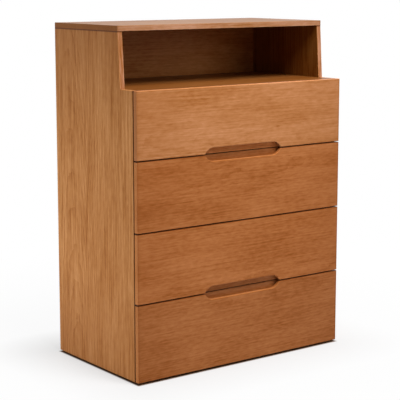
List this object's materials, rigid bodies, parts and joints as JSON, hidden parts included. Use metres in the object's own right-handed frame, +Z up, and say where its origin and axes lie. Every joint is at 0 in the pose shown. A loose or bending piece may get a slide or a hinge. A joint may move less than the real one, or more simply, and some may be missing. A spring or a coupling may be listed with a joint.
{
  "type": "chest of drawers",
  "caption": "Upright chest of drawers in stained wood, with an open niche under a set-back top and round-ended finger slots shared by the overlay drawer fronts.",
  "frame": {"origin": "on the floor, under the middle of the chest's overall box", "axes": "+Z up, +X to the right of someone who faces the drawers, -Y the way the drawers open"},
  "size_m": [0.8, 0.455, 1.07],
  "materials": {
    "stained_wood": "satin stain over straight-grained veneer",
    "inner_wood": "plain matt wood",
    "thin_board": "smooth thin board",
    "dowel_wood": "plain turned wood",
    "runner_steel": "zinc-plated rolled steel",
    "screw_steel": "zinc-plated steel",
    "glide_plastic": "matt dark plastic"
  },
  "bodies": {
    "carcass": {"side_panel_left": "stained_wood", "side_panel_right": "stained_wood", "top_panel": "stained_wood", "niche_shelf": "stained_wood", "niche_back": "stained_wood", "bottom_panel": "inner_wood", "back_panel": "thin_board", "back_panel_screws": "screw_steel", "glides": "glide_plastic", "carcass_dowels": "dowel_wood", "runner_screws": "screw_steel", "carcass_runner_1_left": "runner_steel", "carcass_runner_1_right": "runner_steel", "carcass_runner_2_left": "runner_steel", "carcass_runner_2_right": "runner_steel", "carcass_runner_3_left": "runner_steel", "carcass_runner_3_right": "runner_steel", "carcass_runner_4_left": "runner_steel", "carcass_runner_4_right": "runner_steel"},
    "drawer_1": {"drawer_1_front": "stained_wood", "drawer_1_inner_front": "stained_wood", "drawer_1_side_left": "inner_wood", "drawer_1_side_right": "inner_wood", "drawer_1_back": "inner_wood", "drawer_1_bottom": "thin_board", "drawer_1_front_screws": "screw_steel", "drawer_1_runner_left": "runner_steel", "drawer_1_runner_right": "runner_steel"},
    "middle_runners_1": {"middle_runners_1": "runner_steel"},
    "drawer_2": {"drawer_2_front": "stained_wood", "drawer_2_inner_front": "stained_wood", "drawer_2_side_left": "inner_wood", "drawer_2_side_right": "inner_wood", "drawer_2_back": "inner_wood", "drawer_2_bottom": "thin_board", "drawer_2_front_screws": "screw_steel", "drawer_2_runner_left": "runner_steel", "drawer_2_runner_right": "runner_steel"},
    "middle_runners_2": {"middle_runners_2": "runner_steel"},
    "drawer_3": {"drawer_3_front": "stained_wood", "drawer_3_inner_front": "stained_wood", "drawer_3_side_left": "inner_wood", "drawer_3_side_right": "inner_wood", "drawer_3_back": "inner_wood", "drawer_3_bottom": "thin_board", "drawer_3_front_screws": "screw_steel", "drawer_3_runner_left": "runner_steel", "drawer_3_runner_right": "runner_steel"},
    "middle_runners_3": {"middle_runners_3": "runner_steel"},
    "drawer_4": {"drawer_4_front": "stained_wood", "drawer_4_inner_front": "stained_wood", "drawer_4_side_left": "inner_wood", "drawer_4_side_right": "inner_wood", "drawer_4_back": "inner_wood", "drawer_4_bottom": "thin_board", "drawer_4_front_screws": "screw_steel", "drawer_4_runner_left": "runner_steel", "drawer_4_runner_right": "runner_steel"},
    "middle_runners_4": {"middle_runners_4": "runner_steel"}
  },
  "joints": [
    {"name": "drawer_1_slide", "type": "slide", "parent": "carcass", "child": "drawer_1", "axis": [0, -1, 0], "range_m": [0, 0.36]},
    {"name": "runner_1_slide", "type": "slide", "parent": "carcass", "child": "middle_runners_1", "axis": [0, -1, 0], "range_m": [0, 0.18]},
    {"name": "drawer_2_slide", "type": "slide", "parent": "carcass", "child": "drawer_2", "axis": [0, -1, 0], "range_m": [0, 0.36]},
    {"name": "runner_2_slide", "type": "slide", "parent": "carcass", "child": "middle_runners_2", "axis": [0, -1, 0], "range_m": [0, 0.18]},
    {"name": "drawer_3_slide", "type": "slide", "parent": "carcass", "child": "drawer_3", "axis": [0, -1, 0], "range_m": [0, 0.36]},
    {"name": "runner_3_slide", "type": "slide", "parent": "carcass", "child": "middle_runners_3", "axis": [0, -1, 0], "range_m": [0, 0.18]},
    {"name": "drawer_4_slide", "type": "slide", "parent": "carcass", "child": "drawer_4", "axis": [0, -1, 0], "range_m": [0, 0.36]},
    {"name": "runner_4_slide", "type": "slide", "parent": "carcass", "child": "middle_runners_4", "axis": [0, -1, 0], "range_m": [0, 0.18]}
  ],
  "couplings": [
    {"joint": "runner_1_slide", "follows": "drawer_1_slide", "ratio": 0.5},
    {"joint": "runner_2_slide", "follows": "drawer_2_slide", "ratio": 0.5},
    {"joint": "runner_3_slide", "follows": "drawer_3_slide", "ratio": 0.5},
    {"joint": "runner_4_slide", "follows": "drawer_4_slide", "ratio": 0.5}
  ]
}
